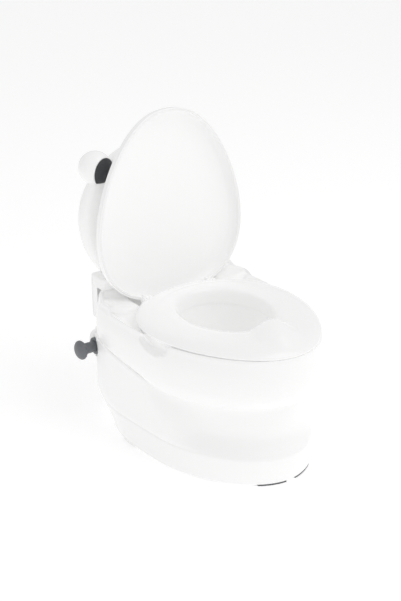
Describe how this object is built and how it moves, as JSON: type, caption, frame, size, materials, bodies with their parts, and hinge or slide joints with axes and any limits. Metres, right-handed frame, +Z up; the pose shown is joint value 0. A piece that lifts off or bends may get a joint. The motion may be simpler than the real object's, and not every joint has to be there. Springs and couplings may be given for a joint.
{
  "type": "potty training chair",
  "caption": "Toddler potty shaped like a toilet: waisted pedestal, lift-off seat and pot, egg-shaped lid open against a round-eared backrest, side flush knob.",
  "frame": {"origin": "middle of the pedestal's egg-shaped footprint, on the floor", "axes": "+Z up, -Y towards the front of the chair, +X towards the side without the knob"},
  "size_m": [0.2877, 0.374, 0.4709],
  "materials": {
    "white_plastic": "satin gloss moulded polypropylene",
    "charcoal_plastic": "matte moulded plastic",
    "grey_plastic": "satin gloss moulded plastic",
    "grey_rubber": "soft elastomer",
    "clear_rubber": "soft pads",
    "steel": "zinc plated",
    "module_plastic": "moulded plastic",
    "board_green": "solder mask",
    "black_plastic": "moulded plastic",
    "battery_wrap": "plain wrap"
  },
  "bodies": {
    "chair": {"anti_slip_ring": "grey_rubber", "base_shell": "white_plastic", "bowl_shell": "white_plastic", "shell_screws": "steel", "hinge_pins": "white_plastic", "backrest_front": "white_plastic", "backrest_back": "white_plastic", "backrest_screws": "steel", "ear_left": "white_plastic", "ear_right": "white_plastic", "ear_pad_left": "charcoal_plastic", "ear_pad_right": "charcoal_plastic", "knob_collar": "grey_plastic", "knob_spring": "steel", "module_case": "module_plastic", "module_cover": "module_plastic", "battery_door": "module_plastic", "battery_door_screw": "steel", "circuit_board": "board_green", "sound_chip": "black_plastic", "push_switch": "black_plastic", "speaker": "black_plastic", "batteries": "battery_wrap", "battery_contacts": "steel"},
    "lid": {"lid_shell": "white_plastic", "lid_liner": "white_plastic"},
    "seat": {"seat_ring": "white_plastic", "seat_bumpers": "clear_rubber"},
    "pot": {"pot": "white_plastic"},
    "knob": {"flush_knob": "grey_plastic", "knob_clip": "steel"}
  },
  "joints": [
    {"name": "lid_hinge", "type": "hinge", "parent": "chair", "child": "lid", "pos_m": [0, 0.1216, 0.1954], "axis": [1, 0, 0], "range_deg": [0, 92]},
    {"name": "seat_lift", "type": "slide", "parent": "chair", "child": "seat", "axis": [0, 0, 1], "range_m": [0, 0.36]},
    {"name": "pot_lift", "type": "slide", "parent": "chair", "child": "pot", "axis": [0, 0, 1], "range_m": [0, 0.24]},
    {"name": "knob_press", "type": "slide", "parent": "chair", "child": "knob", "axis": [1, 0, 0], "range_m": [0, 0.004], "stiffness_N_per_m": 300, "springref_m": -0.004, "deforming": ["knob_spring"]}
  ],
  "couplings": [
    {"joint": "pot_lift", "follows": "seat_lift", "ratio": 0.666}
  ]
}
